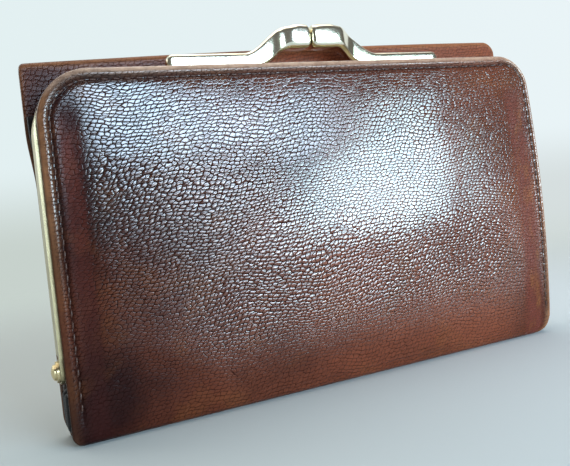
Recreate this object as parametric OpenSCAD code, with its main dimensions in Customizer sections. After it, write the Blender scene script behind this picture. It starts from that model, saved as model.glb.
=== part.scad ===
// Framed coin purse with a gusseted bill pocket behind it. Sizes are in millimetres.
// The front faces -Y. The purse stands on z = 0 and is centred on x = 0 and y = 0.

/* [Leather] */
// width of the leather panels
panel_w = 140; // [110:1:180]
// height of the front panel
panel_h = 84; // [70:1:110]
// thickness of the leather
leather_t = 1.3; // [0.8:0.1:1.8]
// radius of the two top corners
top_r = 12; // [6:0.5:20]
// radius of the two bottom corners
foot_r = 5; // [3:0.5:10]
// roundness of the bottom fold, seen from the side
fold_r = 2.5; // [2:0.1:3]
// thickness of the stiffening boards
board_t = 0.8; // [0.4:0.1:1]
// thickness of the lining cloth
lining_t = 0.4; // [0.3:0.1:0.6]

/* [Frame] */
// depth of each half of the metal frame
frame_d = 3.3; // [3:0.1:5]
// gap between the closed halves
frame_gap = 0.3; // [0.2:0.05:0.6]
// thickness of the metal strip
frame_t = 0.8; // [0.6:0.1:1]
// width of the flange behind the leather
flange_w = 4; // [3:0.5:6]
// how far the legs stand out past the leather's sides
frame_proud = 0.8; // [0.4:0.1:1.5]
// how far the frame's top lies below the leather's top edge
frame_drop = 0.8; // [0.2:0.1:2]
// outer corner radius of the frame
frame_r = 14; // [10:0.5:22]
// height of the hinge axis
hinge_z = 16.8; // [14:0.2:24]
// radius of the ears around the hinge
ear_r = 2.8; // [2.4:0.1:3.2]
// radius of the rivet's shank
rivet_r = 1.2; // [0.8:0.05:1.4]
// radius of the rivet's outer head
rivet_head_r = 2.4; // [2:0.1:2.8]

/* [Clasp] */
// reach of each clasp arm from the middle
clasp_reach = 39.6; // [30:0.5:50]
// height of the arm above the frame
arm_h = 3.5; // [2.5:0.1:5]
// where the arm starts to rise, from the middle
bump_reach = 18; // [14:0.5:24]
// half width of the arch under the pads
arch_reach = 13.5; // [10:0.5:18]
// length of each pad
pad_l = 8.5; // [6:0.5:11]
// height of the pads above the frame
pad_h = 10.6; // [9:0.2:14]
// height of the arch above the frame
arch_h = 5.1; // [4.2:0.1:6]
// gap between the two pads
pad_gap = 0.4; // [0.3:0.05:0.8]

/* [Bill pocket] */
// width of the rear leaf
leaf_w = 141; // [110:1:182]
// height of the rear leaf
leaf_h = 89; // [74:1:118]
// opening of the pocket's mouth at rest
mouth = 2.8; // [1.5:0.1:6]
// height of the leather facing inside the mouth
facing_h = 13.5; // [8:0.5:20]
// thickness of the leaf with its lining
leaf_t = 2.4; // [2.2:0.1:3]

/* [Stitching] */
// distance between stitches
stitch_pitch = 2.6; // [2:0.1:4]
// distance of the stitches from the edge
stitch_in = 2.7; // [2:0.1:4]

/* [Hidden] */
$fn = 64;
cut = 1;                               // overrun of every cutting shape
half_w = panel_w / 2;
// layers from the front face, y = 0, to the back
y_frame = leather_t;
y_split = y_frame + frame_d;
y_hinge = y_split + frame_gap / 2;
y_rear_frame = y_split + frame_gap;
y_rear = y_rear_frame + frame_d;
y_back = y_rear + leather_t;
// the frame
frame_half = half_w + frame_proud;
wall_in = frame_half - frame_t;
frame_top = panel_h - frame_drop;
ear_clear = 0.6;
leg_end = hinge_z + ear_r + ear_clear;
ear_step = 0.2;
bore_clear = 0.06;
joggle_h = 5;
ear_lap = 1;
// where the front leather parts from the wrap
part_gap = 0.15;
part_lift = 1;
z_part = hinge_z + part_lift;
board_lift = 2.5;
board_side = 0.2;
lining_side = 0.1;
lining_drop = 5;
// rivets
head_clear = 0.05;
inner_head_t = 0.65;
inner_head_r = rivet_head_r - 0.3;
outer_head_t = 0.65;
dome_r = 1.8;
dome_h = 0.5;
cap_h = 0.6;
// clasp
arm_side = 0.2;
arm_d = frame_d - 2 * arm_side;
arm_round = 1.8;
pad_side = 0.3;
pad_round = 2.2;
pad_edge = 1;
pad_lead = 2;
pad_lap = 1;
pad_under = 1;
rise_steps = 12;
corner_steps = 4;
// pouch gussets
gusset_t = 0.5;
gusset_fold = 12;
gusset_top = 42;
gusset_low = 12.8;
gusset_in = 2;
gusset_clear = 0.3;
// bill pocket
leaf_r = leaf_t / 2;
leaf_clear = 0.3;
leaf_half = leaf_w / 2;
leaf_len = leaf_h - leaf_r;
leaf_tilt = asin((mouth - leaf_clear) / leaf_len);
leaf_top_r = 3;
leaf_foot_r = 4;
leaf_lining_t = 0.5;
leaf_board_t = leaf_t - leather_t - leaf_lining_t;
leaf_axis_y = y_back + leaf_clear + leaf_r;
leaf_low = 2.2;
leaf_hem = 1.2;
lining_r = 1;
facing_gap = 0.2;
pocket_gusset_t = 0.5;
pocket_gusset_w = 13;
pocket_gusset_out = 1;
pocket_gusset_low = 22;
pocket_gusset_top = 74;
// stitches
stitch_l = 1.7;
stitch_w = 0.45;
stitch_t = 0.2;
stitch_low = 1;
// the middle of the whole depth
leaf_reach = leaf_axis_y + (leaf_len - stitch_in + stitch_w / 2) * sin(leaf_tilt)
    + (leaf_r + stitch_t) * cos(leaf_tilt);
y_mid = (leaf_reach - stitch_t) / 2;

LEATHER = [0.36, 0.17, 0.11];
BLACK = [0.06, 0.05, 0.05];
BOARD = [0.55, 0.47, 0.36];
GOLD = [0.83, 0.75, 0.52];
THREAD = [0.20, 0.10, 0.07];

// puts the layers round y = 0
module seat() translate([0, -y_mid, 0]) children();

// a flat shape drawn in x and z, from y0 to y0 + t
module slab(y0, t) translate([0, y0 + t, 0]) rotate([90, 0, 0]) linear_extrude(t) children();

// a flat shape drawn in y and z, from x0 to x0 + t
module side_plate(x0, t) translate([x0, 0, 0]) rotate([90, 0, 90]) linear_extrude(t) children();

// the same on the other side
module mirrored(on) mirror([on ? 1 : 0, 0, 0]) children();

// outline with rounded top corners
module arch2d(half, z0, z1, r) {
    translate([-half, z0]) square([2 * half, z1 - r - z0]);
    translate([r - half, z0]) square([2 * (half - r), z1 - z0]);
    for (s = [-1, 1]) translate([s * (half - r), z1 - r]) circle(r);
}

// outline with rounded top and bottom corners
module panel2d(half, z0, z1, r_top, r_foot) {
    arch2d(half, z0 + r_foot, z1, r_top);
    translate([r_foot - half, z0]) square([2 * (half - r_foot), r_foot + cut]);
    for (s = [-1, 1]) translate([s * (half - r_foot), z0 + r_foot]) circle(r_foot);
}

// side view of a sheet folded up at the front and the back
module trough2d(y0, y1, z0, r, t, front_top, back_top) {
    difference() {
        box_foot2d(y0, y1, z0, r, back_top);
        box_foot2d(y0 + t, y1 - t, z0 + t, r - t, back_top + cut);
        translate([y0 - cut, front_top]) square([y1 - y0 - t + cut, back_top]);
    }
}

// a tall rectangle with a rounded foot
module box_foot2d(y0, y1, z0, r, z1) {
    translate([y0, z0 + r]) square([y1 - y0, z1 - z0 - r]);
    translate([y0 + r, z0]) square([y1 - y0 - 2 * r, r + cut]);
    for (y = [y0 + r, y1 - r]) translate([y, z0 + r]) circle(r);
}

// one stitch lying on the front face of y = 0, turned by a
module stitch(x, z, a) translate([x, 0, z]) rotate([0, -a, 0])
    translate([-stitch_l / 2, -stitch_t, -stitch_w / 2]) cube([stitch_l, stitch_t, stitch_w]);

// stitches up both sides
module side_stitches(half, z0, z1) {
    count = floor((z1 - z0) / stitch_pitch);
    for (s = [-1, 1], i = [0 : count - 1])
        stitch(s * (half - stitch_in), z0 + (i + 0.5) * (z1 - z0) / count, 90);
}

// stitches up both sides, round the top corners and along the top
module stitch_row(half, z0, z1, r) {
    tops = floor(2 * (half - r) / stitch_pitch);
    turns = max(1, round(90 * PI / 180 * (r - stitch_in) / stitch_pitch));
    side_stitches(half, z0, z1 - r);
    for (s = [-1, 1], i = [0 : turns - 1])
        let (a = (i + 0.5) * 90 / turns)
        stitch(s * (half - r + (r - stitch_in) * cos(a)),
            z1 - r + (r - stitch_in) * sin(a), s * (90 + a));
    for (i = [0 : tops - 1])
        stitch(-(half - r) + (i + 0.5) * 2 * (half - r) / tops, z1 - stitch_in, 0);
}

// the upper front leather, which swings with the front half of the frame
module front_panel() color(LEATHER) seat()
    slab(0, leather_t) arch2d(half_w, z_part, panel_h, top_r);

module front_stitching() color(THREAD) seat()
    stitch_row(half_w, z_part + stitch_low, panel_h, top_r);

module front_board() color(BOARD) seat()
    slab(y_frame, board_t)
        arch2d(frame_half - flange_w - board_side, hinge_z + board_lift,
            frame_top - flange_w - board_side, frame_r - flange_w - board_side);

module front_lining() color(BLACK) seat()
    slab(y_frame + board_t, lining_t)
        arch2d(frame_half - flange_w - board_side - lining_side, hinge_z + board_lift,
            frame_top - flange_w - board_side - lining_side, frame_r - flange_w - board_side - lining_side);

// bent strip of one half of the frame: a wall along y and a flange
module frame_strip(y_wall, y_flange) {
    slab(y_wall, frame_d) difference() {
        arch2d(frame_half, leg_end, frame_top, frame_r);
        arch2d(wall_in, leg_end - cut, frame_top - frame_t, frame_r - frame_t);
    }
    slab(y_flange, frame_t) difference() {
        arch2d(frame_half, leg_end, frame_top, frame_r);
        arch2d(frame_half - flange_w, leg_end - cut, frame_top - flange_w, frame_r - flange_w);
    }
}

// flat ear round the hinge axis, with a tail up the leg on the side given by y0
module ear2d(y0, tail) difference() {
    union() {
        translate([y_hinge, hinge_z]) circle(ear_r);
        translate([y0, hinge_z]) square([ear_r - frame_gap / 2, leg_end + tail - hinge_z]);
    }
    translate([y_hinge, hinge_z]) circle(rivet_r + bore_clear);
}

// the front half carries the outer ears
module front_frame() color(GOLD) seat() {
    frame_strip(y_frame, y_frame);
    for (s = [false, true]) mirrored(s)
        side_plate(wall_in, frame_t) ear2d(y_hinge - ear_r, ear_lap);
}

// the rear half carries the inner ears, which are set inwards by the strip's thickness
module rear_frame() color(GOLD) seat() {
    frame_strip(y_rear_frame, y_rear - frame_t);
    for (s = [false, true]) mirrored(s) {
        side_plate(wall_in - ear_step - frame_t, frame_t) ear2d(y_rear_frame, joggle_h);
        translate([wall_in - ear_step - frame_t, y_rear_frame, leg_end + ear_lap / 2])
            cube([frame_t + ear_step + frame_t / 2, ear_r - frame_gap / 2, joggle_h - ear_lap / 2]);
    }
}

// hinge rivet on the +X side: inner head, shank, stepped and domed outer head
module rivet() translate([0, y_hinge, hinge_z]) rotate([0, 90, 0]) {
    inner = wall_in - ear_step - frame_t - head_clear;
    outer = frame_half + head_clear;
    step = outer + outer_head_t;
    cap_r = (dome_r * dome_r + cap_h * cap_h) / (2 * cap_h);
    translate([0, 0, inner - inner_head_t]) cylinder(h = inner_head_t, r = inner_head_r);
    translate([0, 0, inner - inner_head_t / 2]) cylinder(h = outer - inner + inner_head_t, r = rivet_r);
    translate([0, 0, outer]) cylinder(h = outer_head_t, r = rivet_head_r);
    translate([0, 0, step - outer_head_t / 2]) cylinder(h = outer_head_t / 2 + dome_h, r = dome_r);
    intersection() {
        translate([0, 0, step]) cylinder(h = dome_h + cap_h, r = dome_r);
        translate([0, 0, step + dome_h + cap_h - cap_r]) sphere(cap_r);
    }
}

module left_rivet() color(GOLD) seat() mirrored(true) rivet();

module right_rivet() color(GOLD) seat() rivet();

// soft step from 0 to 1
function ease(t) = t * t * (3 - 2 * t);

// points of a quarter turn round a corner
function corner(cx, cz, r, a0, a1) = [for (i = [0 : corner_steps])
    let (a = a0 + (a1 - a0) * i / corner_steps)
    [cx + r * cos(a), cz + r * sin(a)]];

// front view of the clasp on the -X side: arm, rise and pad over a half arch
function clasp_points() = let (x_in = -pad_gap / 2, z0 = frame_top) concat(
    [[-clasp_reach, z0]],
    corner(-clasp_reach + arm_round, z0 + arm_h - arm_round, arm_round, 180, 90),
    [for (i = [0 : rise_steps]) let (t = i / rise_steps)
        [-bump_reach + (bump_reach - pad_l + pad_lead) * t, z0 + arm_h + (pad_h - arm_h) * ease(t)]],
    corner(x_in - pad_edge, z0 + pad_h - pad_edge, pad_edge, 90, 0),
    corner(x_in - pad_edge, z0 + arch_h + pad_edge, pad_edge, 0, -90),
    [for (i = [0 : rise_steps]) let (t = 1 - i / rise_steps)
        [-arch_reach + (arch_reach - pad_l + pad_lead) * t, z0 + arch_h * ease(t)]]);

// clasp on the -X side, its arm standing on the frame from y_arm on
module clasp(y_arm) {
    slab(y_arm, arm_d) intersection() {
        polygon(clasp_points());
        translate([-clasp_reach - cut, frame_top]) square([clasp_reach + cut - pad_l + pad_lap, pad_h]);
    }
    intersection() {
        slab(y_frame, y_rear - y_frame) intersection() {
            polygon(clasp_points());
            translate([-pad_l - pad_lap, frame_top]) square([pad_l + pad_lap, pad_h + cut]);
        }
        side_plate(-pad_l - pad_lap - cut, pad_l + pad_lap + 2 * cut)
            pad_side2d(y_frame + pad_side, y_rear - pad_side,
                frame_top + arch_h - pad_under, frame_top + pad_h);
    }
}

// side view of a pad, rounded on every corner
module pad_side2d(y0, y1, z0, z1) {
    translate([y0, z0 + pad_round]) square([y1 - y0, z1 - z0 - 2 * pad_round]);
    translate([y0 + pad_round, z0]) square([y1 - y0 - 2 * pad_round, z1 - z0]);
    for (y = [y0 + pad_round, y1 - pad_round], z = [z0 + pad_round, z1 - pad_round])
        translate([y, z]) circle(pad_round);
}

module left_clasp() color(GOLD) seat() clasp(y_frame + arm_side);

module right_clasp() color(GOLD) seat() mirrored(true) clasp(y_rear_frame + arm_side);

// one piece of leather: lower front, bottom fold and the pouch's rear wall
module outer_wrap() color(LEATHER) seat() intersection() {
    side_plate(-half_w, panel_w)
        trough2d(0, y_back, 0, fold_r, leather_t, z_part - part_gap, panel_h);
    slab(-cut, y_back + 2 * cut) panel2d(half_w, 0, panel_h, top_r, foot_r);
}

// the same row of stitches, below where the front leather parts
module wrap_stitching() color(THREAD) seat()
    side_stitches(half_w, foot_r + stitch_low, z_part - part_gap - stitch_low);

// cloth inside the wrap, up the rear wall and a little way up the front
module pouch_lining() color(BLACK) seat() intersection() {
    side_plate(-half_w, panel_w)
        trough2d(leather_t + lining_side, y_rear - board_t, leather_t + lining_side,
            fold_r - leather_t - lining_side, lining_t, hinge_z - lining_drop, panel_h);
    slab(0, y_back)
        panel2d(frame_half - flange_w - board_side - lining_side, leather_t + lining_side,
            frame_top - flange_w - board_side - lining_side,
            frame_r - flange_w - board_side - lining_side, foot_r / 2);
}

module rear_board() color(BOARD) seat()
    slab(y_rear - board_t, board_t)
        panel2d(frame_half - flange_w - board_side, foot_r,
            frame_top - flange_w - board_side, frame_r - flange_w - board_side, foot_r / 2);

// sheet folded inwards in a V, seen from above
module vfold2d(x_edge, x_fold, y0, y1) {
    y_m = (y0 + y1) / 2;
    lap = gusset_t * (x_edge - x_fold) / (y_m - y0);
    polygon([[x_edge, y0], [x_fold, y_m], [x_edge, y1],
        [x_edge, y1 - gusset_t], [x_fold + lap, y_m], [x_edge, y0 + gusset_t]]);
}

// black side gusset of the pouch: narrow past the hinge, out to the leather's edge below it
module gusset() {
    edge = wall_in - gusset_in;
    y0 = y_frame + board_t + gusset_clear;
    y1 = y_rear - board_t - gusset_clear;
    translate([0, 0, gusset_low]) linear_extrude(gusset_top - gusset_low)
        vfold2d(edge, half_w - gusset_fold, y0, y1);
    translate([0, 0, fold_r]) linear_extrude(gusset_low - fold_r)
        vfold2d(half_w - lining_side, half_w - gusset_fold, y0, y1);
}

module left_gusset() color(BLACK) seat() mirrored(true) gusset();

module right_gusset() color(BLACK) seat() gusset();

// puts a flat shape on the leaning leaf, whose fold is at z = 0 there
module on_leaf() seat() translate([0, leaf_axis_y, leaf_r]) rotate([-leaf_tilt, 0, 0]) children();

// rear leaf, with its rounded fold at the foot
module leaf_leather() color(LEATHER) on_leaf() {
    slab(leaf_r - leather_t, leather_t) panel2d(leaf_half, 0, leaf_len, leaf_top_r, leaf_foot_r);
    translate([leaf_foot_r - leaf_half, 0, 0]) rotate([0, 90, 0])
        cylinder(h = leaf_w - 2 * leaf_foot_r, r = leaf_r);
}

module leaf_board() color(BOARD) on_leaf()
    slab(leaf_lining_t - leaf_r, leaf_board_t)
        panel2d(leaf_half - leaf_hem, leaf_low, leaf_len - leaf_hem, leaf_top_r, leaf_foot_r);

module leaf_lining() color(BLACK) on_leaf()
    slab(-leaf_r, leaf_lining_t)
        panel2d(leaf_half - leaf_hem, leaf_low, leaf_len - facing_h - facing_gap, lining_r, leaf_foot_r);

module leaf_facing() color(LEATHER) on_leaf()
    slab(-leaf_r, leaf_lining_t)
        panel2d(leaf_half - lining_side, leaf_len - facing_h, leaf_len - lining_side, leaf_top_r, lining_r);

module leaf_stitching() color(THREAD) on_leaf()
    translate([0, leaf_r, 0]) mirror([0, 1, 0])
        stitch_row(leaf_half, 2 * leaf_foot_r, leaf_len, leaf_top_r);

// black side gusset of the bill pocket, folded flat in the mouth
module pocket_gusset() seat()
    translate([0, y_back + leaf_clear / 2, leaf_r]) rotate([-leaf_tilt / 2, 0, 0])
        translate([leaf_half + pocket_gusset_out - pocket_gusset_w,
            -pocket_gusset_t / 2, pocket_gusset_low])
            cube([pocket_gusset_w, pocket_gusset_t, pocket_gusset_top - pocket_gusset_low]);

module left_pocket_gusset() color(BLACK) mirrored(true) pocket_gusset();

module right_pocket_gusset() color(BLACK) pocket_gusset();

front_panel();
front_stitching();
front_board();
front_lining();
front_frame();
left_clasp();
outer_wrap();
wrap_stitching();
pouch_lining();
rear_board();
rear_frame();
right_clasp();
left_rivet();
right_rivet();
left_gusset();
right_gusset();
left_pocket_gusset();
right_pocket_gusset();
leaf_leather();
leaf_board();
leaf_lining();
leaf_facing();
leaf_stitching();
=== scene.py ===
"""Looks of the framed coin purse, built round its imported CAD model."""
import math

import bmesh
import bpy
import numpy as np
from mathutils import Matrix, Vector


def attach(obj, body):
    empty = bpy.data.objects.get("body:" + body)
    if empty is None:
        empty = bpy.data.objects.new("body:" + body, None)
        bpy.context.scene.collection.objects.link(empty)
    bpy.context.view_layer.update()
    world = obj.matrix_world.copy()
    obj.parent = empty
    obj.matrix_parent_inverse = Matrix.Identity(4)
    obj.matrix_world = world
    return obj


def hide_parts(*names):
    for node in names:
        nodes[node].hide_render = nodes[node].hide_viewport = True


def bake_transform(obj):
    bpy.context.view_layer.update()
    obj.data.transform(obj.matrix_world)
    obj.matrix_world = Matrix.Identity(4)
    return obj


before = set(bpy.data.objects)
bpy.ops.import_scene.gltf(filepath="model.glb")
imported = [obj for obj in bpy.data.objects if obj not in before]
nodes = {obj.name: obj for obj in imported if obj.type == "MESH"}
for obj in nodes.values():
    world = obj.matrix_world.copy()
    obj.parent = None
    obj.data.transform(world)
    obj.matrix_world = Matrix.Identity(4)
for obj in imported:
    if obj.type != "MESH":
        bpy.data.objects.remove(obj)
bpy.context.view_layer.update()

# Driving sizes in millimetres, with y counted back from the front leather's face
MM = 0.001
Y_MID = 7.31449
HALF_W, PANEL_H, LEATHER_T = 70.0, 84.0, 1.3
TOP_R, TOP_R_RIGHT, FOLD_R = 12.0, 9.2, 2.5
Y_BACK, Y_SEAM = 9.5, 4.75
FRAME_TOP = 83.2
BLEND_TOP, BLEND_LOW = 19.0, 11.0
STITCH_IN, STITCH_PITCH, STITCH_Z = 2.7, 2.6, 7.5
STITCH_LEN = (2 * (PANEL_H - STITCH_Z) - TOP_R - TOP_R_RIGHT + 2 * HALF_W - TOP_R - TOP_R_RIGHT
              + math.pi / 2 * (TOP_R + TOP_R_RIGHT - 2 * STITCH_IN))
STITCH_STEP = STITCH_LEN / int(STITCH_LEN / STITCH_PITCH)
LEAF_AXIS_Y, LEAF_R, LEAF_LEN, LEAF_HALF = 11.0, 1.2, 87.8, 70.5
MOUTH_GAP, FOOT_GAP = 2.8, 0.3
LEAF_TILT = math.asin((MOUTH_GAP - FOOT_GAP) / LEAF_LEN)
# beyond this distance an edge has no effect
FAR = 40.0


def row(points):
    """Millimetres in the layers' frame to metres in the row frame."""
    p = np.array(points, float)
    p[..., 1] -= Y_MID
    return p * MM


def smooth(x):
    t = np.clip(x, 0.0, 1.0)
    return t * t * (3 - 2 * t)


def ramp(v, start, end):
    """0 at start, 1 at end, with a smooth rise between them."""
    return smooth((v - start) / (end - start))


def link(obj):
    bpy.context.scene.collection.objects.link(obj)


# Camera, solved from the photograph's four panel corners
PHOTO_W, PHOTO_H = 570, 466
FOCAL_PX, AXIS_PX = 680.0, (285.0, 193.0)
SENSOR_MM = 36.0
EYE = (-83.6555, -156.2834, 52.5585)
RIGHT = Vector((0.905121, -0.410686, -0.109971))
UP = Vector((0.104230, -0.036422, 0.993886))
BACK = Vector((-0.412180, -0.911049, 0.009840))
cam_data = bpy.data.cameras.new("camera")
cam = bpy.data.objects.new("camera", cam_data)
link(cam)
bpy.context.scene.camera = cam
turned_to = Matrix((RIGHT, UP, BACK)).transposed().to_4x4()
cam.matrix_world = Matrix.Translation(Vector(row(EYE))) @ turned_to
cam_data.sensor_width = SENSOR_MM
cam_data.lens = FOCAL_PX * SENSOR_MM / PHOTO_W
cam_data.shift_x = (PHOTO_W / 2 - AXIS_PX[0]) / PHOTO_W
cam_data.shift_y = (AXIS_PX[1] - PHOTO_H / 2) / PHOTO_W
cam_data.clip_start = 0.01


# Materials
def rgb(colour, times=1.0):
    return tuple(c * times for c in colour) + (1.0,)


class Nodes:
    """Short hand for building a node material."""

    def __init__(self, name):
        self.mat = bpy.data.materials.new(name)
        self.mat.use_nodes = True
        self.tree = self.mat.node_tree
        self.bsdf = self.tree.nodes["Principled BSDF"]
        self.out = self.tree.nodes["Material Output"]

    def add(self, kind, outputs=0, props=None, **inputs):
        n = self.tree.nodes.new(kind)
        for k, v in (props or {}).items():
            setattr(n, k, v)
        for k, v in inputs.items():
            key = int(k[1:]) if k[0] == "i" and k[1:].isdigit() else k.replace("_", " ")
            self.put(n.inputs[key], v)
        return n.outputs[outputs]

    def put(self, socket, v):
        if isinstance(v, bpy.types.NodeSocket):
            self.tree.links.new(v, socket)
        else:
            socket.default_value = v

    def set(self, **inputs):
        for k, v in inputs.items():
            self.put(self.bsdf.inputs[k.replace("_", " ")], v)

    def math(self, op, a, b=0.0, c=0.0):
        return self.add("ShaderNodeMath", props={"operation": op}, i0=a, i1=b, i2=c)

    def product(self, a, b):
        return self.math("MULTIPLY", a, b)

    def times_plus(self, a, b, c):
        return self.math("MULTIPLY_ADD", a, b, c)

    def less(self, v):
        """What v leaves of 1."""
        return self.math("SUBTRACT", 1.0, v)

    def ridges(self, angle):
        return self.math("ABSOLUTE", self.math("SINE", angle))

    def vmath(self, op, a, b=(0, 0, 0)):
        return self.add("ShaderNodeVectorMath", props={"operation": op}, i0=a, i1=b)

    def split(self, vec):
        return tuple(self.add("ShaderNodeSeparateXYZ", i0=vec).node.outputs)

    def remap(self, v, a, b, c=0.0, d=1.0, kind="SMOOTHSTEP"):
        props = {"interpolation_type": kind}
        return self.add("ShaderNodeMapRange", props=props, i0=v, i1=a, i2=b, i3=c, i4=d)

    def mix(self, f, a, b):
        return self.add("ShaderNodeMix", 2, {"data_type": "RGBA"}, i0=f, i6=a, i7=b)

    def noise(self, vec, scale, detail=2.0, rough=0.5, out=0):
        return self.add("ShaderNodeTexNoise", out, Vector=vec, Scale=scale, Detail=detail, Roughness=rough)

    def voronoi(self, vec, feature, jitter):
        props = {"voronoi_dimensions": "2D", "feature": feature}
        return self.add("ShaderNodeTexVoronoi", 0, props, Vector=vec, Scale=1.0, Randomness=jitter)

    def attr(self, name, out):
        return self.add("ShaderNodeAttribute", out, {"attribute_name": name})

    def object_mm(self):
        """Place on a CAD node, in millimetres."""
        return self.vmath("MULTIPLY", self.add("ShaderNodeTexCoord", 3), (1000.0, 1000.0, 1000.0))

    def bump(self, height, strength, distance):
        return self.add("ShaderNodeBump", Height=height, Strength=strength, Distance=distance)


# Leather: pebbles in millimetres, the height of the grain in metres
PEBBLE_W, PEBBLE_H, PEBBLE_R, PEBBLE_JITTER, FLANK_W = 1.28, 0.90, 0.72, 0.62, 0.15
RELIEF = 0.000065
LEATHER_DARK, LEATHER_LIGHT = (0.020, 0.0045, 0.0042), (0.225, 0.058, 0.027)
LEATHER_PATCH, PEBBLE_DARK = (0.22, 0.070, 0.020), (0.040, 0.010, 0.006)
BAND_SHADE_HIGH, BAND_SHADE_FOOT, BAND_SHADE_RIGHT = (0.105, 0.021, 0.013), (0.034, 0.007, 0.006), (0.170, 0.040, 0.026)
BAND_STREAK = (0.30, 0.10, 0.035)
RIM_TAN, RIM_PAINTED_HIGHLIGHT = (0.42, 0.185, 0.085), (0.62, 0.38, 0.26)
CREASE_SHADE, GROOVE_SHADE = (0.012, 0.004, 0.003), (0.016, 0.005, 0.004)


def pebbles(m, place, flat):
    """Wavy rows of long pebbles: their height, 0 in a crease and 1 off it, and each pebble's tone."""
    half = (0.5, 0.5, 0.5)
    drift = m.vmath("SUBTRACT", m.noise(place, 0.040, 1.0, out=1), half)
    shake = m.vmath("SUBTRACT", m.noise(place, 0.45, 1.0, out=1), half)
    wavy = m.vmath("ADD", place, m.vmath("MULTIPLY", drift, (4.0, 7.0, 0.0)))
    wavy = m.vmath("ADD", wavy, m.vmath("MULTIPLY", shake, (1.0, 1.0, 0.0)))
    along, down, _ = m.split(m.vmath("MULTIPLY", wavy, (1 / PEBBLE_W, 1 / PEBBLE_H, 1.0)))
    # each row is shifted by half a pebble
    cells = m.add("ShaderNodeCombineXYZ", i0=m.times_plus(down, 0.5, along), i1=down)
    gap = m.voronoi(cells, "DISTANCE_TO_EDGE", PEBBLE_JITTER)
    near = m.voronoi(cells, "F1", PEBBLE_JITTER)
    tone = near.node.outputs["Color"]
    # where the relief is strong, the pebbles are round, elsewhere flat on top
    roundness = m.remap(flat, -1.0, 0.0, 2.0, 3.6, "LINEAR")
    bulge = m.remap(flat, -1.0, 0.0, 0.95, 0.38, "LINEAR")
    dome = m.less(m.math("POWER", m.product(near, 1 / PEBBLE_R), roundness))
    rows = m.remap(m.ridges(m.product(down, math.pi)), 0.0, 0.45)
    flank = m.product(m.remap(gap, 0.0, FLANK_W), m.times_plus(rows, 0.4, 0.6))
    seam = m.product(m.remap(gap, 0.0, FLANK_W, 0.22, 1.0), m.times_plus(rows, 0.6, 0.4))
    height = m.times_plus(dome, bulge, m.product(flank, 0.36))
    return height, m.remap(seam, 0.1, 0.85), tone


def leather_colour(m, place, edge, dark, crease, tone, bright):
    """Painted shade to the left, low on the right and along the foot; darker towards the top; random broad
    clouds; painted shade in the pressed bands, the creases and the stitch groove; worn tan rims with a
    painted highlight along the top edge.
    """
    right, down, _ = m.split(place)
    # painted shade: darker to the left, away from the windows; darker towards the top; random broad clouds
    # of tone
    cloud = m.remap(m.noise(place, 0.030, 3.0, 0.55), 0.3, 0.7, -0.12, 0.32)
    tone_and_shade = m.math("ADD", m.remap(right, -72.0, 8.0, -0.06, 0.84, "LINEAR"), cloud)
    tone_and_shade = m.math("ADD", tone_and_shade, m.remap(down, 20.0, 52.0, -0.36, 0.04))
    # painted shade low on the right and along the foot
    corner = m.product(m.remap(right, 45.0, 68.0), m.remap(down, 40.0, 60.0))
    foot = m.times_plus(corner, 0.45, m.remap(down, 62.0, 76.0, 0.0, 0.10))
    tone_and_shade = m.math("SUBTRACT", tone_and_shade, m.product(foot, m.remap(down, 120.0, 100.0)))
    base = m.mix(tone_and_shade, rgb(LEATHER_DARK, bright), rgb(LEATHER_LIGHT, bright))
    patch = m.noise(m.vmath("ADD", place, (31.0, 7.0, 3.0)), 0.11, 2.0, 0.5)
    base = m.mix(m.product(m.remap(patch, 0.48, 0.75), 0.3), base, rgb(LEATHER_PATCH, bright))
    tint = m.add("ShaderNodeSeparateColor", i0=tone)
    base = m.mix(m.product(tint, 0.18), base, rgb(PEBBLE_DARK))
    # painted shade in the pressed bands beside the frame, deepest towards the foot, with orange streaks in
    # the right one
    shade = m.attr("shade", 2)
    streak = m.noise(m.vmath("MULTIPLY", place, (0.30, 0.11, 1.0)), 1.0, 3.0, 0.6)
    at_right = m.remap(right, 0.0, 40.0)
    band = m.mix(m.remap(down, 20.0, 70.0), rgb(BAND_SHADE_HIGH), rgb(BAND_SHADE_FOOT))
    band = m.mix(at_right, band, rgb(BAND_SHADE_RIGHT))
    base = m.mix(m.product(shade, m.remap(streak, 0.35, 0.70, 0.85, 0.25)), base, band)
    orange = m.product(m.remap(streak, 0.50, 0.70, 0.0, 0.6), at_right)
    base = m.mix(m.product(shade, orange), base, rgb(BAND_STREAK))
    # tan where the rim is rubbed, and a painted highlight: palest along the top edge
    rubbed = m.remap(m.noise(place, 0.35, 3.0, 0.65), 0.2, 0.65, 0.45, 1.0)
    worn = m.product(m.remap(edge, 2.9, 0.5), rubbed)
    tan = m.mix(m.remap(down, 5.0, 1.5), rgb(RIM_TAN), rgb(RIM_PAINTED_HIGHLIGHT))
    base = m.mix(m.product(worn, m.attr("rim", 2)), base, tan)
    # painted shade in the creases between the pebbles
    base = m.mix(m.product(m.less(crease), m.product(dark, 0.88)), base, rgb(CREASE_SHADE))
    # painted shade in the sunken line of the stitches
    return m.mix(m.product(m.attr("groove", 2), 0.6), base, rgb(GROOVE_SHADE))


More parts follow.
